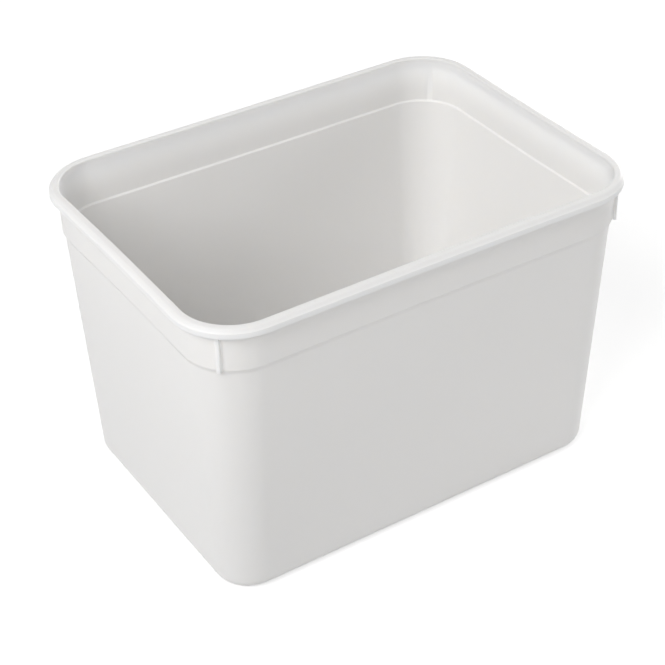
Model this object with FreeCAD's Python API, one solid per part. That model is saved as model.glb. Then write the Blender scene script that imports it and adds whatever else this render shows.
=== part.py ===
import FreeCAD, Part
import math
import os

# An open storage tub for food, moulded in one piece from white polypropylene.
# One cross-section of the wall runs round a rectangle with round corners. From the
# ground up it is a flat floor with a round edge, a tapered wall, a step outwards, an
# upright band, and a flat rim whose outer edge is turned down into a skirt. Under the
# rim, each corner has one thin rib that stiffens it.
# Millimetres. X runs along the tub, Y across it and Z up. The origin is on the ground
# below the middle of the tub.

# Overall sizes
rim_length = 234.0
rim_width = 168.8
tub_height = 155.0
rim_corner_radius = 29.4

# Wall and floor
wall_thickness = 1.0
floor_thickness = 1.2
wall_draft = 2.95
floor_edge_radius = 6.2

# Band and step: the band is measured down from the top of the rim
band_height = 22.9
band_draft = 0.5
step_height = 2.3
step_width = 1.05
step_edge_radius = 0.4
step_foot_radius = 4.0

# The same step inside the tub is a narrower, sharper ledge
ledge_drop = 0.5
ledge_height = 1.0
ledge_radius = 0.4

# Rim and skirt
rim_overhang = 3.75
rim_thickness = 1.4
rim_outer_radius = 1.6
rim_inner_radius = 0.7
skirt_height = 4.6
skirt_thickness = 1.2
lip_radius = 0.5
groove_radius = 0.5

# Corner ribs
rib_thickness = 1.8
rib_setback = 2.1
rib_drop = 0.5
rib_root_radius = 0.8
rib_edge_radius = 0.3
rib_foot_radius = 1.2

# Edges shorter than this are left out of an outline.
SHORTEST_EDGE = 1e-6

UP = FreeCAD.Vector(0, 0, 1)
ORIGIN = FreeCAD.Vector(0, 0, 0)

# The corners' upright axes. Radii below are measured outwards from such an axis.
axis_x = rim_length / 2 - rim_corner_radius
axis_y = rim_width / 2 - rim_corner_radius

# Heights
step_top = tub_height - band_height
step_foot = step_top - step_height
ledge_top = step_top - ledge_drop
ledge_foot = ledge_top - ledge_height
rim_underside = tub_height - rim_thickness
skirt_foot = tub_height - skirt_height

# Radii of the outside faces
band_top_radius = rim_corner_radius - rim_overhang
band_foot_radius = band_top_radius - band_height * math.tan(math.radians(band_draft))
wall_top_radius = band_foot_radius - step_width
wall_foot_radius = wall_top_radius - step_foot * math.tan(math.radians(wall_draft))
skirt_inner_radius = rim_corner_radius - skirt_thickness
rib_radius = rim_corner_radius - rib_setback


def rounded_outline(corners):
    """The closed outline through corners (x, y, radius), each rounded by its radius."""
    points = [FreeCAD.Vector(x, y, 0) for x, y, _ in corners]
    starts, middles, ends = [], [], []
    for i, (_, _, radius) in enumerate(corners):
        point = points[i]
        to_last = (points[i - 1] - point).normalize()
        to_next = (points[(i + 1) % len(points)] - point).normalize()
        half_angle = to_last.getAngle(to_next) / 2
        reach = radius / math.tan(half_angle)
        inward = (to_last + to_next).normalize() if radius else to_next
        starts.append(point + to_last * reach)
        middles.append(point + inward * (radius / math.sin(half_angle) - radius))
        ends.append(point + to_next * reach)
    edges = []
    for i, (_, _, radius) in enumerate(corners):
        next_start = starts[(i + 1) % len(corners)]
        if radius:
            edges.append(Part.Arc(starts[i], middles[i], ends[i]).toShape())
        if ends[i].distanceToPoint(next_start) > SHORTEST_EDGE:
            edges.append(Part.makeLine(ends[i], next_start))
    return Part.Wire(edges)


def upright_face(corners):
    """A face whose corners' x lies along X and whose y lies along Z."""
    face = Part.Face(rounded_outline(corners))
    face.rotate(ORIGIN, FreeCAD.Vector(1, 0, 0), 90)
    return face


def placed(shape, turn, x, y):
    """A copy turned about Z and moved to x, y."""
    copy = shape.copy()
    copy.rotate(ORIGIN, UP, turn)
    copy.translate(FreeCAD.Vector(x, y, 0))
    return copy


def wall_section():
    """The wall's cross-section, from a corner's axis out to the skirt."""
    outside = [
        (0, 0, 0),
        (wall_foot_radius, 0, floor_edge_radius),
        (wall_top_radius, step_foot, step_foot_radius),
        (band_foot_radius, step_top, step_edge_radius),
        (band_top_radius, rim_underside, groove_radius),
    ]
    rim = [
        (skirt_inner_radius, rim_underside, groove_radius),
        (skirt_inner_radius, skirt_foot, lip_radius),
        (rim_corner_radius, skirt_foot, lip_radius),
        (rim_corner_radius, tub_height, rim_outer_radius),
    ]
    inside = [
        (band_top_radius - wall_thickness, tub_height, rim_inner_radius),
        (band_foot_radius - wall_thickness, ledge_top, ledge_radius),
        (wall_top_radius - wall_thickness, ledge_foot, ledge_radius),
        (wall_foot_radius - wall_thickness, floor_thickness, floor_edge_radius - wall_thickness),
        (0, floor_thickness, 0),
    ]
    return upright_face(outside + rim + inside)


def wall_and_floor():
    """The section turned round the four corners and drawn along the sides, and the floor."""
    section = wall_section()
    corner = section.revolve(ORIGIN, UP, 90)
    long_side = section.extrude(FreeCAD.Vector(0, 2 * axis_x, 0))
    short_side = section.extrude(FreeCAD.Vector(0, 2 * axis_y, 0))
    floor_middle = Part.makeBox(2 * axis_x, 2 * axis_y, floor_thickness,
                                FreeCAD.Vector(-axis_x, -axis_y, 0))
    pieces = [
        placed(corner, 0, axis_x, axis_y),
        placed(corner, 90, -axis_x, axis_y),
        placed(corner, 180, -axis_x, -axis_y),
        placed(corner, 270, axis_x, -axis_y),
        placed(short_side, 0, axis_x, -axis_y),
        placed(long_side, 90, axis_x, axis_y),
        placed(short_side, 180, -axis_x, axis_y),
        placed(long_side, 270, -axis_x, -axis_y),
    ]
    return floor_middle.multiFuse(pieces).removeSplitter()


def corner_rib():
    """One rib along +X from a corner's axis, rooted in the band and under the rim."""
    half = rib_thickness / 2
    root_half = half + rib_root_radius
    foot = step_top - rib_drop
    top = tub_height - rim_thickness / 2
    # The rib's root flares to its full width at the seat, on the tub's face at the rib's
    # foot, and its back edge is buried midway between there and the band's inner face.
    face_at_foot = band_foot_radius - rib_drop * step_width / step_height
    seat = math.sqrt(face_at_foot ** 2 - root_half ** 2)
    buried = (seat + band_top_radius - wall_thickness) / 2
    plan = Part.Face(rounded_outline([
        (buried, -root_half, 0),
        (seat, -root_half, 0),
        (seat, -half, rib_root_radius),
        (rib_radius, -half, rib_edge_radius),
        (rib_radius, half, rib_edge_radius),
        (seat, half, rib_root_radius),
        (seat, root_half, 0),
        (buried, root_half, 0),
    ]))
    plan.translate(UP * foot)
    side = upright_face([
        (buried, foot, 0),
        (rib_radius, foot, rib_foot_radius),
        (rib_radius, top, 0),
        (buried, top, 0),
    ])
    side.translate(FreeCAD.Vector(0, root_half, 0))
    blade = plan.extrude(UP * (top - foot)).common(side.extrude(FreeCAD.Vector(0, -2 * root_half, 0)))
    # Inside the skirt the rib goes on to the skirt's inner face.
    tie_foot = skirt_foot + lip_radius + rib_edge_radius
    tie = Part.makeBox(skirt_inner_radius + skirt_thickness / 2 - buried, rib_thickness, top - tie_foot,
                       FreeCAD.Vector(buried, -half, tie_foot))
    return blade.fuse(tie)


def tub():
    """The whole moulding as one solid."""
    rib = corner_rib()
    ribs = [
        placed(rib, 45, axis_x, axis_y),
        placed(rib, 135, -axis_x, axis_y),
        placed(rib, 225, -axis_x, -axis_y),
        placed(rib, 315, axis_x, -axis_y),
    ]
    return wall_and_floor().multiFuse(ribs).removeSplitter().Solids[0]


os.makedirs("parts", exist_ok=True)
shape = tub()
shape.exportStep("parts/tub.step")
print("volume %.1f cm3, area %.0f cm2, box %s" % (shape.Volume / 1000, shape.Area / 100, shape.BoundBox))
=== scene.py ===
import math

import bmesh
import bpy
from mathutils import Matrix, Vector


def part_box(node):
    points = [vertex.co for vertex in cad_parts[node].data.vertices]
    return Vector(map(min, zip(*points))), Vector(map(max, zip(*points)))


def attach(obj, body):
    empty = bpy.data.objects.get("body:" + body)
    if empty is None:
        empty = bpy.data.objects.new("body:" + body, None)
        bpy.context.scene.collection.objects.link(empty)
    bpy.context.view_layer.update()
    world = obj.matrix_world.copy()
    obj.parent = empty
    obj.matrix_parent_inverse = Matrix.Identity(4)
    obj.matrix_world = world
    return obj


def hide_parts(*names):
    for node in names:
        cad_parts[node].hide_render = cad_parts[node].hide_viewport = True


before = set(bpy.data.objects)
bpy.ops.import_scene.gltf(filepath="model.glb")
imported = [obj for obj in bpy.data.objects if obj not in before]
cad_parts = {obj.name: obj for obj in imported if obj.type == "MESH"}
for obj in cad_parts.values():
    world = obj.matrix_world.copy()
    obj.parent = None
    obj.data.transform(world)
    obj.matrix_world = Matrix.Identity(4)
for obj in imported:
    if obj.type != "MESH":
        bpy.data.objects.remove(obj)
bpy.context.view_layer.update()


# ---------------------------------------------------------------- the tub's wall, rim and floor
# One thin moulding in polypropylene, injected through the middle of its floor. One section runs
# all the way round: wall, step, upright band, rim and skirt outside, ledge and wall inside.
# The outline at the skirt's foot is carried on ring by ring, outside first, then inside.

low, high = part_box("tub")
half_length = (high[0] - low[0]) / 2
half_width = (high[1] - low[1]) / 2
top = high[2]

# a height is measured up from the ground, and a radius is that of a corner seen from above
corner_radius = 0.0294
corner_axis = Vector((half_length - corner_radius, half_width - corner_radius, 0.0))
skirt_foot = top - 0.0046
skirt_inner_radius = corner_radius - 0.0012
rim_crease = top - 0.0018
rim_flat_radius = corner_radius - 0.0017
rim_underside = top - 0.0014
band_top_radius = corner_radius - 0.00375
band_foot_radius = band_top_radius - 0.0002
band_lean = 0.0003
step_top = top - 0.0229
step_foot = step_top - 0.0023
wall_thickness = 0.001
wall_draft = math.radians(2.95)
wall_top_radius = band_foot_radius - 0.00105
wall_foot_radius = wall_top_radius - step_foot * math.tan(wall_draft)
floor_thickness = 0.0012
ledge_top = step_top - 0.0005
ledge_foot = ledge_top - 0.0008

rib_foot = step_top - 0.0005
up_the_step = (rib_foot - step_foot) / (step_top - step_foot)
rib_foot_radius = wall_top_radius + up_the_step * (band_foot_radius - wall_top_radius)

# each edge of the section: the radius and height it lies at, and the radius of its rounding
outside = [
    (corner_radius, skirt_foot, 0.0005),
    (skirt_inner_radius, skirt_foot, 0.0005),
    (skirt_inner_radius, rim_underside, 0.0005),
    (band_top_radius, rim_underside, 0.0005),
    (band_foot_radius, step_top, 0.0004),
    (rib_foot_radius, rib_foot, 0.0),
    (wall_top_radius, step_foot, 0.004),
    (wall_foot_radius, 0.0, 0.0062),
]
inside = [
    (corner_radius, skirt_foot, 0.0005),
    (corner_radius, rim_crease, 0.0004),
    (rim_flat_radius, top, 0.0014),
    (band_top_radius - wall_thickness, top, 0.0007),
    (band_foot_radius - wall_thickness - band_lean, ledge_top, 0.0007),
    (wall_top_radius - wall_thickness, ledge_foot, 0.0007),
    (wall_foot_radius - wall_thickness, floor_thickness, 0.0052),
]
widest_rounding = 0.006

corner_segments = 44
long_side_cuts = 15
short_side_cuts = 9
tallest_ring = 0.012


def choose(kind, test):
    """Selects the parts of the mesh that pass the test, and nothing else."""
    bpy.ops.mesh.select_mode(type=kind)
    bpy.ops.mesh.select_all(action="DESELECT")
    mesh = bmesh.from_edit_mesh(bpy.context.object.data)
    parts = {"VERT": mesh.verts, "EDGE": mesh.edges, "FACE": mesh.faces}[kind]
    for part in parts:
        if test(part):
            part.select_set(True)
    bmesh.update_edit_mesh(bpy.context.object.data)


def setback(before, corner, after, rounding):
    """How far from a sharp edge of the section its rounding starts, on both sides."""
    came = Vector((corner[0] - before[0], corner[1] - before[1]))
    goes = Vector((after[0] - corner[0], after[1] - corner[1]))
    return rounding * math.tan(came.angle(goes) / 2)


def round_outline(offset):
    """Marks the outline of the chosen face with how far from it the rounding starts."""
    bpy.ops.mesh.region_to_loop()
    bpy.ops.transform.edge_bevelweight(value=-1)
    bpy.ops.transform.edge_bevelweight(value=offset / widest_rounding)
    bpy.ops.mesh.select_mode(type="FACE")


def carry_on(section, facing):
    """Carries the chosen face along a section, one ring at a time, and marks each edge of it."""
    floor_middle = (0.0, section[-1][1])
    stops = section + [floor_middle]
    round_outline(section[0][2])
    for number in range(1, len(section)):
        inwards = section[number - 1][0] - section[number][0]
        upwards = section[number][1] - section[number - 1][1]
        rings = max(1, round(math.hypot(inwards, upwards) / tallest_ring))
        for ring in range(rings):
            bpy.ops.mesh.inset(thickness=inwards / rings, depth=facing * upwards / rings)
            round_outline(0.0)
        round_outline(setback(stops[number - 1], stops[number], stops[number + 1], section[number][2]))


bpy.ops.object.select_all(action="DESELECT")
bpy.ops.mesh.primitive_plane_add(size=1)
tub = bpy.context.object
tub.name = tub.data.name = "moulded_tub"
bpy.ops.object.mode_set(mode="EDIT")
bpy.ops.transform.resize(value=(2 * half_length, 2 * half_width, 1))
bpy.ops.transform.translate(value=(0, 0, skirt_foot))
bpy.ops.mesh.bevel(offset=corner_radius, segments=corner_segments, affect="VERTICES")
choose("EDGE", lambda edge: edge.calc_length() > 1.9 * corner_axis.x)
bpy.ops.mesh.subdivide(number_cuts=long_side_cuts)
choose("EDGE", lambda edge: edge.is_boundary and edge.calc_length() > 1.9 * corner_axis.y)
bpy.ops.mesh.subdivide(number_cuts=short_side_cuts)
choose("FACE", lambda face: True)
bpy.ops.mesh.dissolve_faces()

# the outer side, from the skirt's foot in to the floor's underside
bpy.ops.mesh.duplicate()
bpy.ops.mesh.flip_normals()
carry_on(outside, -1)

# the inner side, up over the rim and down to the inner floor
choose("FACE", lambda face: len(face.verts) > 4 and face.normal.z > 0.5)
carry_on(inside, 1)
bpy.ops.mesh.select_all(action="SELECT")
bpy.ops.mesh.remove_doubles(threshold=0.00001)
bpy.ops.object.mode_set(mode="OBJECT")

rounding = tub.modifiers.new("edge roundings", "BEVEL")
rounding.limit_method = "WEIGHT"
rounding.width = widest_rounding
rounding.segments = 8
rounding.use_clamp_overlap = False
bpy.ops.object.modifier_apply(modifier=rounding.name)


# ---------------------------------------------------------------- the ribs under the rim's corners
# A thin upright blade stands out of the band at each corner, up into the hollow of the skirt. It
# stops tubs that are stacked from jamming. It is moulded with the band, with a filleted root.

rib_reach = corner_radius - 0.0021
rib_half_thickness = 0.0009
rib_top = rim_underside - 0.0005
rib_end_in_rim = rim_underside + 0.0001
rib_foot_rounding = 0.0012
rib_edge_rounding = 0.0003
rib_root_rounding = 0.0008

# what tells the rib's own faces and edges from their neighbours: how far out they lie
band_from = band_foot_radius - 0.00035
band_to = band_top_radius + 0.00005
rib_to = rib_reach + 0.0007
hair = 0.00001

bpy.ops.object.mode_set(mode="EDIT")
for along, across in ((1, 1), (-1, 1), (-1, -1), (1, -1)):
    outwards = Vector((along, across, 0)).normalized()
    sideways = Vector((-across, along, 0)).normalized()
    middle = Vector((along * corner_axis.x, across * corner_axis.y, 0))

    def reach(point):
        return (point - middle).dot(outwards)

    def aside(point):
        return abs((point - middle).dot(sideways))

    def on_rib(point, nearest, farthest):
        return nearest < reach(point) < farthest and aside(point) < rib_half_thickness + 5 * hair

    def root_face(face):
        spot = face.calc_center_median()
        return on_rib(spot, band_from, band_to) and rib_foot < spot.z < rib_top

    # the patch of the band that the rib stands on is cut out, and the blade drawn out of the gap:
    # first its foot, then its outer edge, and last its top and its two sides
    choose("FACE", root_face)
    bpy.ops.mesh.delete(type="FACE")
    choose("EDGE", lambda edge: edge.is_boundary
           and all(abs(end.co.z - rib_foot) < hair for end in edge.verts))
    bpy.ops.mesh.extrude_region_move(
        TRANSFORM_OT_translate={"value": outwards * (rib_reach - rib_foot_radius)})
    bpy.ops.mesh.extrude_region_move(
        TRANSFORM_OT_translate={"value": (0, 0, rib_end_in_rim - rib_foot)})
    choose("EDGE", lambda edge: edge.is_boundary
           and all(end.co.z > rib_top - hair for end in edge.verts))
    bpy.ops.mesh.bridge_edge_loops()
    for side in (1, -1):
        choose("EDGE", lambda edge: edge.is_boundary
               and all((end.co - middle).dot(sideways) * side > rib_half_thickness / 2 for end in edge.verts))
        bpy.ops.mesh.edge_face_add()

    # the foot's outer corner, the blade's two edges, and the fillet round its root
    def foot_corner(edge):
        return all(reach(end.co) > rib_reach - hair and on_rib(end.co, band_from, rib_to)
                   and abs(end.co.z - rib_foot) < hair for end in edge.verts)

    def blade_edge(edge):
        ends = [end.co for end in edge.verts]
        flat = [abs(face.normal.dot(sideways)) for face in edge.link_faces]
        return (all(on_rib(end, band_from, rib_to) for end in ends)
                and max(reach(end) for end in ends) > band_to
                and min(end.z for end in ends) < rib_top - 0.001
                and max(flat) > 0.9 and min(flat) < 0.3)

    def root_edge(edge):
        ends = [end.co for end in edge.verts]
        return (all(on_rib(end, band_from, band_to) for end in ends)
                and any(len(face.verts) > 8 for face in edge.link_faces)
                and max(end.z for end in ends) < rib_top + 10 * hair)

    choose("EDGE", foot_corner)
    bpy.ops.mesh.bevel(offset=rib_foot_rounding, segments=8, clamp_overlap=False)
    choose("EDGE", blade_edge)
    bpy.ops.mesh.bevel(offset=rib_edge_rounding, segments=4, clamp_overlap=False)
    choose("EDGE", root_edge)
    bpy.ops.mesh.bevel(offset=rib_root_rounding, segments=6, clamp_overlap=False)
choose("VERT", lambda point: True)
bpy.ops.mesh.remove_doubles(threshold=0.000002)
bpy.ops.object.mode_set(mode="OBJECT")


# ---------------------------------------------------------------- how the sides draw in as the moulding cools
# A thin wall shrinks more than the stiff corners, so the middle of each long and short side ends
# half a millimetre in at the rim, fading to nothing at the corners and down to the floor.

draw_in = 0.0005
long_side_fade = 0.11
short_side_fade = 0.075
pulled_patch = 0.006

bpy.ops.object.mode_set(mode="EDIT")
for outwards, distance, fade in (((0, 1, 0), half_width, long_side_fade),
                                 ((1, 0, 0), half_length, short_side_fade)):
    for side in (1, -1):
        facing = side * Vector(outwards)
        choose("VERT", lambda point: point.co.dot(facing) > distance - pulled_patch
               and point.co.z > step_top - pulled_patch / 2
               and (point.co - facing * point.co.dot(facing)).xy.length < pulled_patch)
        bpy.ops.transform.translate(value=-facing * draw_in, use_proportional_edit=True,
                                    proportional_edit_falloff="SMOOTH", proportional_size=fade)
bpy.ops.object.mode_set(mode="OBJECT")

bpy.ops.object.shade_smooth()
flat_faces = tub.modifiers.new("flat faces stay flat", "WEIGHTED_NORMAL")
flat_faces.weight = 60
bpy.ops.object.modifier_apply(modifier=flat_faces.name)


# ---------------------------------------------------------------- the plastic
# Natural polypropylene, tinted white: a soft waxy gloss, and slightly clear, so light bleeds
# through the thin wall. The glow of the rim, band and ribs is painted into the base colour as a
# lighter colour, and so is painted light over the skirt's shadow. The mould's polish leaves a faint
# unevenness.

wall_colour = (0.85, 0.842, 0.832, 1)
# painted glow: a lighter colour that stands in for light scattering in thick or backlit plastic
painted_glow_colour = (0.945, 0.936, 0.922, 1)


class Flow:
    """A number on its way through a material, so that maths on it can be written as Python."""

    def __init__(self, tree, socket):
        self.tree = tree
        self.socket = socket

    def node(self, kind, inputs=(), output=0, **settings):
        """Any other node: its type, its settings, then the values or links of its sockets."""
        made = self.tree.nodes.new(kind)
        for name, value in settings.items():
            setattr(made, name, value)
        for name, value in dict(inputs).items():
            if isinstance(value, Flow):
                self.tree.links.new(value.socket, made.inputs[name])
            else:
                made.inputs[name].default_value = value
        return Flow(self.tree, made.outputs[output])

    def maths(self, operation, *numbers):
        return self.node("ShaderNodeMath", dict(enumerate(numbers)), operation=operation)

    def size(self):
        return self.maths("ABSOLUTE", self)

    def root(self):
        return self.maths("SQRT", self)

    def larger(self, other):
        return self.maths("MAXIMUM", self, other)

    def ramp(self, start, end):
        """Goes smoothly from 0 to 1 as the number goes from start to end."""
        return self.node("ShaderNodeMapRange", {"Value": self, "From Min": start, "From Max": end},
                         interpolation_type="SMOOTHSTEP")

    def colours(self, first, second):
        """Goes from the first colour to the second as the number goes from 0 to 1."""
        return self.node("ShaderNodeMix", {"Factor": self, 6: first, 7: second}, output=2, data_type="RGBA")

    def feed(self, shader, name):
        self.tree.links.new(self.socket, shader.inputs[name])

    def __add__(self, other):
        return self.maths("ADD", self, other)

    def __sub__(self, other):
        return self.maths("SUBTRACT", self, other)

    def __rsub__(self, other):
        return self.maths("SUBTRACT", other, self)

    def __mul__(self, other):
        return self.maths("MULTIPLY", self, other)

    __radd__ = __add__
    __rmul__ = __mul__


plastic = bpy.data.materials.new("tub_plastic")
plastic.use_nodes = True
shader = plastic.node_tree.nodes["Principled BSDF"]
shader.inputs["IOR"].default_value = 1.49
shader.inputs["Specular IOR Level"].default_value = 0.2
shader.inputs["Subsurface Weight"].default_value = 1.0
shader.inputs["Subsurface Radius"].default_value = (1.0, 0.98, 0.94)
shader.inputs["Subsurface Scale"].default_value = 0.0015
place = Flow(plastic.node_tree, plastic.node_tree.nodes.new("ShaderNodeTexCoord").outputs["Object"])

# where a point is in the section: how far past the corner's axis, how high, and at which radius
along = place.node("ShaderNodeSeparateXYZ", {"Vector": place}, output="X").size() - corner_axis.x
across = place.node("ShaderNodeSeparateXYZ", {"Vector": place}, output="Y").size() - corner_axis.y
height = place.node("ShaderNodeSeparateXYZ", {"Vector": place}, output="Z")
past_end = along.larger(0.0)
past_side = across.larger(0.0)
radius = (past_end * past_end + past_side * past_side).root()
off_rib = ((along - across) * math.sqrt(0.5)).size()

# painted light: the base colour is painted whiter, as a painted glow, where the plastic is thick or lit
# from both sides: in the skirt, on the inside of the band below the rim, and in and behind the ribs.
# It is also painted whiter as painted light over the skirt's shadow on the wall just below it, but not on the
# flat top of the rim
# painted light: lighter from 8 mm under the skirt's foot upwards, filling the skirt's shadow on the wall
skirt_painted_glow = height.ramp(skirt_foot - 0.008, skirt_foot)
inner_side = radius.ramp(band_top_radius - 0.0005, band_top_radius - 0.0009)
# painted glow on the inside of the band, where light comes through the wall
band_painted_glow = height.ramp(top - 0.02, top - 0.005) * inner_side
rim_painted_glow = skirt_painted_glow.larger(band_painted_glow) * (1 - 0.9 * height.ramp(top - 0.0025, top - 0.0005))
# painted glow on the ribs, which also lightens their shaded side
rib_painted_glow = (off_rib.ramp(2.2 * rib_half_thickness, 0.8 * rib_half_thickness) * along.ramp(0.012, 0.014)
             * height.ramp(rib_foot - 0.001, rib_foot + 0.0005) * height.ramp(top - 0.002, top - 0.004))
rim_painted_glow.larger(rib_painted_glow).colours(wall_colour, painted_glow_colour).feed(shader, "Base Color")

# the faint unevenness of the mould's polish, and of its gloss
ripple = place.node("ShaderNodeTexNoise", {"Vector": place, "Scale": 90.0, "Detail": 2.0, "Roughness": 0.45})
place.node("ShaderNodeBump", {"Height": ripple, "Distance": 0.00002, "Strength": 0.6}).feed(shader, "Normal")
haze = place.node("ShaderNodeTexNoise", {"Vector": place, "Scale": 24.0, "Detail": 3.0})
(0.33 + haze * 0.05).feed(shader, "Roughness")

tub.data.materials.clear()
tub.data.materials.append(plastic)

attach(tub, "root")
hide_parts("tub")


# ---------------------------------------------------------------- floor, light and camera
# A sheet of pale paper under the tub, a big softbox at the left, a weak lamp low in front, one
# low at the right, and an even fill. The paper and the room read as white where they are seen
# straight or in a reflection. The paper glows less near the tub, so that the shadow shows.

bpy.ops.object.select_all(action="DESELECT")
bpy.ops.mesh.primitive_plane_add(size=8, location=(0, 0, -0.0002))
floor = bpy.context.object
floor.name = "floor"
paper = bpy.data.materials.new("white_paper")
paper.use_nodes = True
sheet = paper.node_tree.nodes["Principled BSDF"]
sheet.inputs["Base Color"].default_value = (0.66, 0.66, 0.66, 1)
sheet.inputs["Roughness"].default_value = 0.9
sheet.inputs["Specular IOR Level"].default_value = 0.0
spot = Flow(paper.node_tree, paper.node_tree.nodes.new("ShaderNodeTexCoord").outputs["Object"])
away = spot.node("ShaderNodeVectorMath", {0: spot}, output="Value", operation="LENGTH")
away.ramp(0.3, 1.5).colours((0.6, 0.6, 0.6, 1), (1, 1, 1, 1)).feed(sheet, "Emission Color")


def seen_directly(tree):
    """Is 1 for what is seen straight, in a reflection or through glass, and 0 for the light on it."""
    rays = tree.nodes.new("ShaderNodeLightPath")
    straight, reflected, through = (
        Flow(tree, rays.outputs[name]) for name in ("Is Camera Ray", "Is Glossy Ray", "Is Transmission Ray"))
    return straight + reflected + through


(seen_directly(paper.node_tree) * 0.9).feed(sheet, "Emission Strength")
floor.data.materials.append(paper)

fill = 0.315
world = bpy.data.worlds.new("studio")
bpy.context.scene.world = world
world.use_nodes = True
room = world.node_tree.nodes["Background"]
room.inputs["Color"].default_value = (1, 1, 1, 1)
(fill + seen_directly(world.node_tree) * (1 - fill)).feed(room, "Strength")

# each lamp: its name, the degrees round from the front and up, and its watts
lamps = (("softbox", -68, 43, 15), ("front lamp", 52, 12, 5.2), ("side lamp", 116, 10, 12.4))
lamp_distance = 1.5
lamp_width = 0.9
aimed_at = Vector((0, 0, 0.08))
for name, round_from_front, up, watts in lamps:
    azimuth = math.radians(round_from_front)
    elevation = math.radians(up)
    towards = Vector((math.sin(azimuth) * math.cos(elevation),
                      -math.cos(azimuth) * math.cos(elevation),
                      math.sin(elevation)))
    bpy.ops.object.light_add(type="AREA", location=aimed_at + lamp_distance * towards)
    lamp = bpy.context.object
    lamp.name = name
    lamp.data.energy = watts
    lamp.data.size = lamp_width
    lamp.rotation_euler = towards.to_track_quat("Z", "Y").to_euler()

bpy.ops.object.camera_add(location=(-0.37389, -0.58858, 0.56098))
camera = bpy.context.object
camera.rotation_euler = (math.radians(54.6366), math.radians(1.0896), math.radians(-32.9112))
camera.data.lens = 94.265
camera.data.clip_start = 0.05
bpy.context.scene.camera = camera
bpy.context.scene.view_settings.view_transform = "Standard"
